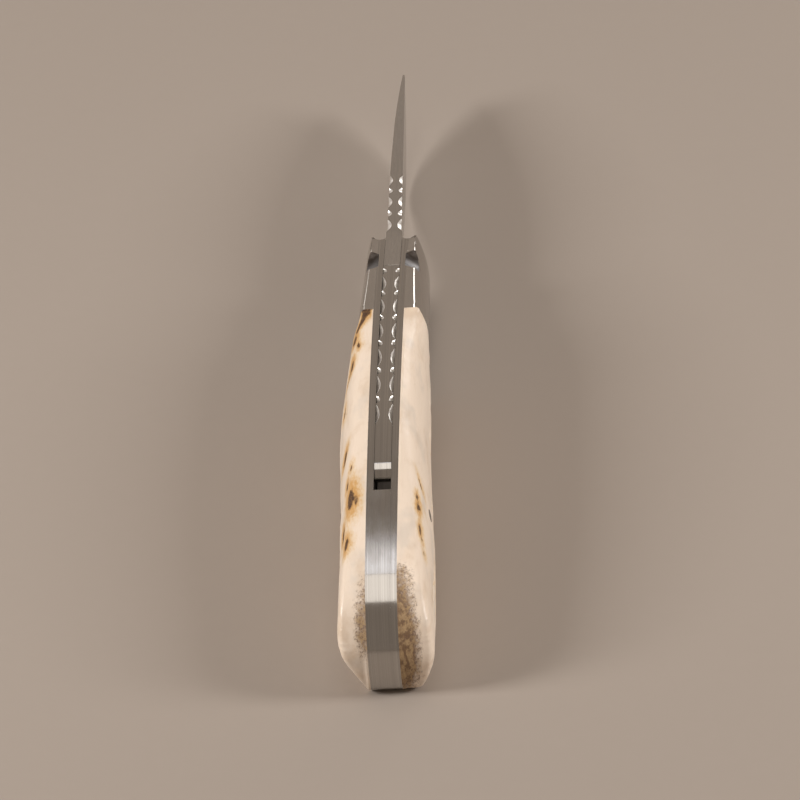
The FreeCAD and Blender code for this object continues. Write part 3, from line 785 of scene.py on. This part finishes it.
def paint_scoop_shade(mesh, side, look):
    """Gives the faces that run along the file's stroke the second material, which paints shade into the
    scoop.
    """
    station = scoop_station(look)
    stroke = Vector((side * math.cos(look.scoop_tilt), 0, -math.sin(look.scoop_tilt)))
    low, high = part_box("left_bolster")
    for face in mesh.faces:
        centre = face.calc_center_median()
        near = abs(centre.y - station) < look.scoop_radius and centre.z > (low[2] + high[2]) / 2
        if near and abs(face.normal.dot(stroke)) < STROKE_SLACK and face.normal.z > SCOOP_RISE:
            face.material_index = 1


def dress(node, body, materials, edge, joint_edge=None, prepare=None):
    """Stands an eased, finished copy in a solid's place, prepared by a function where one is given."""
    mesh = merged_copy(node)
    if prepare is not None:
        prepare(mesh)
    if joint_edge is not None:
        round_edges(mesh, joint_edges(mesh), joint_edge, JOINT_SEGMENTS)
    round_edges(mesh, sharp_edges(mesh), edge, EDGE_SEGMENTS)
    piece = add_piece(mesh, node + "_finish", body, materials)
    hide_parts(node)
    even_flats(piece)


# Pieces

class KNIFE_OT_blade(bpy.types.Operator):
    """Satin blade with its filed spine"""

    bl_idname = "knife.blade"
    bl_label = "Blade"

    def execute(self, context):
        look = context.scene.knife_steel
        steel = steel_material("blade_steel", look.blade_colour, look.satin_line)
        dress("blade", "blade", [steel, filed_material(look)], look.blade_edge,
              look.joint_edge, file_blade)
        return {"FINISHED"}


class KNIFE_OT_frame(bpy.types.Operator):
    """Brushed liners, lock bar and backspacer"""

    bl_idname = "knife.frame"
    bl_label = "Frame"

    def execute(self, context):
        look = context.scene.knife_steel
        steel = steel_material("frame_steel", look.frame_colour, look.frame_line)
        dress("backspacer", "handle", [steel], look.seam_edge)
        dress("lock_bar", "lock_bar", [steel, filed_material(look)], look.seam_edge,
              look.joint_edge, polish_notches)
        for name, side in SIDES:
            # The liners' scoop faces take the painted shade as well
            dress(name + "_liner", "handle", [steel, scoop_shade_material(look)], look.seam_edge,
                  prepare=lambda mesh, side=side: paint_scoop_shade(mesh, side, look))
        return {"FINISHED"}


class KNIFE_OT_bolsters(bpy.types.Operator):
    """Polished bolsters with painted shade in their scoops"""

    bl_idname = "knife.bolsters"
    bl_label = "Bolsters"

    def execute(self, context):
        look = context.scene.knife_steel
        steel = steel_material("bolster_steel", look.bolster_colour, look.polish_line)
        scoop_shade = scoop_shade_material(look)
        for name, side in SIDES:
            node = name + "_bolster"
            dress(node, "handle", [steel, scoop_shade], look.bolster_edge,
                  prepare=lambda mesh, node=node, side=side: self.shape(mesh, node, side, look))
        return {"FINISHED"}

    def shape(self, mesh, node, side, look):
        """Paints shade into the scoop and rounds the long shoulder."""
        paint_scoop_shade(mesh, side, look)
        low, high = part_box(node)
        shoulder = [edge for edge in sharp_edges(mesh) if self.is_shoulder(edge, low, high)]
        round_edges(mesh, shoulder, look.shoulder_round, SHOULDER_SEGMENTS, clamp=False)

    def is_shoulder(self, edge, low, high):
        """Whether an edge is one of the long outer ones along the top."""
        first, second = (vert.co for vert in edge.verts)
        run = (second - first).normalized()
        inner = min(abs(low[0]), abs(high[0]))
        middle = (low[2] + high[2]) / 2
        outside = min(abs(first.x), abs(second.x)) > inner + SHOULDER_OUTSIDE
        above = min(first.z, second.z) > middle + SHOULDER_ABOVE
        return abs(run.y) > SHOULDER_RUN and outside and above


class KNIFE_OT_scales(bpy.types.Operator):
    """Stag scales with their bark marks"""

    bl_idname = "knife.scales"
    bl_label = "Scales"

    def execute(self, context):
        look = context.scene.knife_stag
        stag = stag_material(look)
        pin_low, pin_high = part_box("backspacer_front_pin")
        self.pin = ((pin_low[1] + pin_high[1]) / 2, (pin_low[2] + pin_high[2]) / 2)
        self.pin_radius = (pin_high[2] - pin_low[2]) / 2
        for name, side in SIDES:
            node = name + "_scale"
            mesh = merged_copy(node)
            low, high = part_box(node)
            self.inner = min(abs(low[0]), abs(high[0]))
            self.front = high[1]
            self.slice_up(mesh, look, side, low, high)
            self.round_off(mesh, look, side)
            self.carve(mesh, look, side)
            piece = add_piece(mesh, node + "_finish", "handle", [stag])
            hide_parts(node)
        return {"FINISHED"}

    def slice_up(self, mesh, look, side, low, high):
        """Cuts the outer surface finely, across the scale and along it, and closes its flat side again."""
        bmesh.ops.delete(mesh, geom=[face for face in mesh.faces if self.is_inner(face)], context="FACES")
        heart = Vector((side * self.inner, 0, HEART_HEIGHT))
        turns = int(math.pi / look.mesh_turn)
        for index in range(1, turns):
            angle = -math.pi / 2 + math.pi * index / turns
            cut_across(mesh, heart, Vector((-side * math.sin(angle), 0, math.cos(angle))))
        butt_reach = low[1] + BUTT_CUT_LENGTH
        for index in range(1, int(BUTT_CUT_WIDTH / look.mesh_step)):
            butt = [face for face in mesh.faces if face.calc_center_median().y < butt_reach]
            point = Vector((side * (self.inner + index * look.mesh_step), 0, 0))
            cut_across(mesh, point, Vector((1, 0, 0)), butt)
        steps = int((high[1] - low[1]) / look.mesh_step)
        for index in range(1, steps):
            point = Vector((0, low[1] + (high[1] - low[1]) * index / steps, 0))
            cut_across(mesh, point, Vector((0, 1, 0)))
        bmesh.ops.triangulate(mesh, faces=[face for face in mesh.faces if len(face.verts) > 4])
        rim = [edge for edge in mesh.edges if edge.is_boundary]
        bmesh.ops.triangle_fill(mesh, edges=rim, use_beauty=True, normal=Vector((-side, 0, 0)))

    def is_inner(self, face):
        """Whether a face lies against the liner."""
        return all(abs(vert.co.x) < self.inner + LINER_SLACK for vert in face.verts)

    def freedom(self, place):
        """How far a point may move: not at all beside the liner, the bolster or a pin."""
        from_pin = math.hypot(place.y - self.pin[0], place.z - self.pin[1]) - self.pin_radius
        return min(smooth_step((abs(place.x) - self.inner) / LINER_EASE),
                   smooth_step((self.front - place.y) / BOLSTER_EASE),
                   smooth_step(from_pin / PIN_EASE))

    def fullness(self, look, side, place):
        """How far the upper part of a scale swells behind its bolster."""
        behind = (self.front - place.y) / MM
        if side == RIGHT:
            rise = 1 - math.exp(-(behind + RIGHT_SWELL_LEAD) / RIGHT_SWELL_RISE)
            swell = look.right_swell * rise * math.exp(-behind / RIGHT_SWELL_FALL)
        else:
            swell = look.left_swell * behind / LEFT_SWELL_PEAK * math.exp(1 - behind / LEFT_SWELL_PEAK)
        return swell * ease(place.z, *SWELL_HEIGHTS)

    def round_off(self, mesh, look, side):
        """Fills the shoulder, rounds the lower butt corner and softens all hand-worked edges."""
        share, power = CORNER_ROUND[side]
        for vert in mesh.verts:
            outward = abs(vert.co.x) - self.inner
            if outward <= 0:
                continue
            outward += self.fullness(look, side, vert.co) * smooth_step(outward / SWELL_EASE)
            drop = min(max((CORNER_HEIGHT - vert.co.z) / CORNER_HEIGHT, 0), 1)
            near = 1 - ease(vert.co.y - BUTT, *CORNER_STATIONS)
            vert.co.x = side * (self.inner + outward * (1 - share * near * drop ** power))
        free = [vert for vert in mesh.verts if self.freedom(vert.co) > SMOOTH_FREEDOM]
        for _ in range(look.round_steps):
            bmesh.ops.smooth_vert(mesh, verts=free, factor=SMOOTH_SHARE, use_axis_x=True, use_axis_y=True,
                                  use_axis_z=True)

    def carve(self, mesh, look, side):
        """Sinks the relief into the surface and paints where bark, stain and pith lie."""
        bark_layer, stain_layer, pith_layer = (mesh.verts.layers.float.new(name)
                                               for name in ("bark", "stain", "pith"))
        mesh.normal_update()
        moves = []
        for vert in mesh.verts:
            place = vert.co / MM
            station, height = place.y - BUTT / MM, place.z
            outward = abs(place.x) - self.inner / MM
            sideways = ease(abs(vert.normal.x), *FLANK_LEAN)
            swell = self.half_noise(side, place, SWELL_PATCH)
            ripple = sideways * self.half_noise(side, place, RIPPLE_PATCH)
            furrow = sideways * self.furrow(side, place) * ease(station, *FURROW_STATIONS)
            bark = stain = 0.0
            if outward > MARK_START:
                bark, stain = self.mark_at(side, station, height - outward)
            bark = max(bark, FURROW_BARK * furrow)
            flank = ease(height, *FLANK_HEIGHTS) * FLANK_STAIN[side]
            low_flank = (LOW_FLANK_STAIN * sideways * ease(height, *LOW_FLANK_HEIGHTS)
                         * ease(station, *LOW_FLANK_STATIONS))
            flank_stain = max(flank, low_flank) * (EVEN_STAIN + RIPPLED_STAIN * ripple * swell)
            vert[bark_layer] = bark
            vert[stain_layer] = max(stain, FURROW_BARK * furrow, flank_stain)
            vert[pith_layer] = self.pith_at(side, station, height, outward)
            depth = (look.swell_depth * swell + look.ripple_depth * ripple + look.bark_depth * bark
                     + look.furrow_depth * furrow)
            moves.append((vert, vert.normal * (depth * self.freedom(vert.co))))
        for vert, move in moves:
            vert.co -= move

    def side_noise(self, side, place, patch, apart=0, bend=0):
        """Noise on the side of a scale, from -1 to 1, in patches of a length and a height."""
        length, height = patch
        return noise.noise(Vector((side * SIDE_APART + apart, place.y / length, (place.z + bend) / height)))

    def half_noise(self, side, place, patch, apart=0):
        """Noise on the side of a scale, from 0 to 1."""
        return 0.5 + 0.5 * self.side_noise(side, place, patch, apart)

    def furrow(self, side, place):
        """Dark furrows along the outer side, under the part that is polished."""
        under = ease(place.z, *FURROW_TOP) * ease(place.z, *FURROW_FOOT)
        if under == 0:
            return 0.0
        bend = BEND_REACH * self.side_noise(side, place, BEND_PATCH)
        lines = self.side_noise(side, place, LINE_PATCH, LINE_APART, bend)
        gaps = self.half_noise(side, place, GAP_PATCH, GAP_APART)
        return under * ease(lines, *LINE_LEVELS) * ease(gaps, *GAP_LEVELS)

    def mark_at(self, side, station, girth):
        """Strength of the bark and of the stain round it, where girth falls steadily round the section."""
        bark = stain = 0.0
        for middle, level, length, width, lean, strength in BARK_MARKS[side]:
            along, up = station - middle, girth - level
            if abs(along) > MARK_REACH or abs(up) > MARK_REACH:
                continue
            turn = math.radians(lean)
            run = (along * math.cos(turn) + up * math.sin(turn)) / (length / 2)
            cross = (up * math.cos(turn) - along * math.sin(turn)) / (width / 2)
            far = run * run + cross * cross
            bark = max(bark, strength * math.exp(-BARK_FADE * far))
            stain = max(stain, strength * math.exp(-STAIN_FADE * far))
        return bark, stain

    def pith_at(self, side, station, height, outward):
        """How much of the porous core shows at a place of the butt."""
        level, half_width, half_height, strength = PITH[side]
        far = math.hypot(outward / half_width, (height - level) / half_height)
        return strength * smooth_step(PITH_RIM - far) * ease(station, *PITH_STATIONS)


class KNIFE_OT_spring(bpy.types.Operator):
    """Leaf spring between the backspacer and the lock bar, cut across at even steps"""

    bl_idname = "knife.spring"
    bl_label = "Leaf spring"

    def execute(self, context):
        look = context.scene.knife_steel
        steel = steel_material("spring_steel", look.spring_colour, look.satin_line)
        mesh = merged_copy("lock_spring")
        low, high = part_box("lock_spring")
        steps = int((high[1] - low[1]) / SPRING_STEP)
        for index in range(1, steps):
            point = Vector((0, low[1] + (high[1] - low[1]) * index / steps, 0))
            cut_across(mesh, point, Vector((0, 1, 0)))
        piece = add_piece(mesh, "lock_spring_finish", None, [steel])
        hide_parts("lock_spring")
        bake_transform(piece)
        return {"FINISHED"}


class KNIFE_OT_pins(bpy.types.Operator):
    """Pins, rivets and washers"""

    bl_idname = "knife.pins"
    bl_label = "Pins and washers"

    def execute(self, context):
        look = context.scene.knife_steel
        steel = steel_material("pin_steel", look.pin_colour, look.polish_line)
        bronze = steel_material("bronze", look.bronze_colour, look.polish_line)
        for node in ("pivot_pin", "lock_bar_pin", "backspacer_front_pin", "backspacer_butt_pin",
                     "left_bolster_rivets", "right_bolster_rivets", "left_scale_pin", "right_scale_pin"):
            dress(node, "handle", [steel], look.seam_edge)
        for node in ("left_pivot_washer", "right_pivot_washer"):
            dress(node, "handle", [bronze], look.seam_edge)
        return {"FINISHED"}


class KNIFE_OT_stage(bpy.types.Operator):
    """Floor, room, lights and camera"""

    bl_idname = "knife.stage"
    bl_label = "Stage"

    def execute(self, context):
        stage = context.scene.knife_stage
        self.lay_floor(context, stage)
        self.fill_room(context, stage)
        for light in LIGHTS:
            self.hang_light(context, *light)
        self.place_camera(context, stage)
        context.scene.view_settings.view_transform = "Standard"
        return {"FINISHED"}

    def lay_floor(self, context, stage):
        """Plain floor under the knife."""
        mesh = bmesh.new()
        bmesh.ops.create_grid(mesh, x_segments=1, y_segments=1, size=FLOOR_REACH)
        data = bpy.data.meshes.new("floor")
        mesh.to_mesh(data)
        mesh.free()
        floor = bpy.data.objects.new("floor", data)
        context.scene.collection.objects.link(floor)
        data.materials.append(floor_material(stage.floor_colour))

    def fill_room(self, context, stage):
        """Dim light from all round, brighter past the blade."""
        world = bpy.data.worlds.new("room")
        world.use_nodes = True
        tree = world.node_tree
        part = tree.nodes.new("ShaderNodeSeparateXYZ")
        tree.links.new(tree.nodes.new("ShaderNodeTexCoord").outputs["Generated"], part.inputs[0])
        ahead = spread(tree, part.outputs["Y"], *ROOM_SHARES)
        room = blend_colour(tree, ahead, stage.shade_colour, stage.room_colour)
        tree.links.new(room, tree.nodes["Background"].inputs["Color"])
        context.scene.world = world

    def hang_light(self, context, name, turn, rise, distance, width, height, power, colour):
        """Soft rectangular light that faces the knife."""
        lamp = bpy.data.lights.new(name, "AREA")
        lamp.shape = "RECTANGLE"
        lamp.size, lamp.size_y = width, height
        lamp.energy = power
        lamp.color = colour
        turn, rise = math.radians(turn), math.radians(rise)
        place = distance * Vector((math.sin(turn) * math.cos(rise), math.cos(turn) * math.cos(rise),
                                   math.sin(rise)))
        holder = bpy.data.objects.new(name, lamp)
        holder.location = place
        holder.rotation_euler = (-place).to_track_quat("-Z", "Y").to_euler()
        context.scene.collection.objects.link(holder)

    def place_camera(self, context, stage):
        """Camera behind the butt, looking along the knife from above."""
        camera = bpy.data.cameras.new("camera")
        camera.lens = stage.camera_lens
        camera.sensor_width = SENSOR_WIDTH
        camera.clip_start, camera.clip_end = CLIP_START, CLIP_END
        azimuth, elevation = stage.camera_azimuth, stage.camera_elevation
        back = Vector((math.sin(azimuth) * math.cos(elevation), -math.cos(azimuth) * math.cos(elevation),
                       math.sin(elevation)))
        place = Matrix.Translation(Vector(stage.camera_aim) + back * stage.camera_distance)
        turn = (-back).to_track_quat("-Z", "Y").to_matrix().to_4x4()
        holder = bpy.data.objects.new("camera", camera)
        holder.matrix_world = place @ (turn @ Matrix.Rotation(-stage.camera_roll, 4, "Z"))
        context.scene.collection.objects.link(holder)
        context.scene.camera = holder


class VIEW3D_PT_knife(bpy.types.Panel):
    """Sidebar panel with the knife's sizes, colours and pieces"""

    bl_label = "Knife"
    bl_space_type = "VIEW_3D"
    bl_region_type = "UI"
    bl_category = "Knife"

    def draw(self, context):
        for operator in OPERATORS:
            self.layout.operator(operator.bl_idname)
        for group in (context.scene.knife_steel, context.scene.knife_stag, context.scene.knife_stage):
            box = self.layout.box()
            for name in group.__annotations__:
                box.prop(group, name)


OPERATORS = (KNIFE_OT_stage, KNIFE_OT_blade, KNIFE_OT_frame, KNIFE_OT_bolsters, KNIFE_OT_scales,
             KNIFE_OT_spring, KNIFE_OT_pins)
GROUPS = {"knife_steel": KnifeSteelProperties, "knife_stag": KnifeStagProperties,
          "knife_stage": KnifeStageProperties}


def register():
    for cls in (*GROUPS.values(), *OPERATORS, VIEW3D_PT_knife):
        bpy.utils.register_class(cls)
    for name, cls in GROUPS.items():
        setattr(bpy.types.Scene, name, bpy.props.PointerProperty(type=cls))


def unregister():
    for name in GROUPS:
        delattr(bpy.types.Scene, name)
    for cls in (VIEW3D_PT_knife, *OPERATORS, *GROUPS.values()):
        bpy.utils.unregister_class(cls)


def main():
    register()
    bpy.ops.knife.stage()
    bpy.ops.knife.blade()
    bpy.ops.knife.frame()
    bpy.ops.knife.bolsters()
    bpy.ops.knife.scales()
    bpy.ops.knife.spring()
    bpy.ops.knife.pins()


if __name__ == "__main__":
    main()
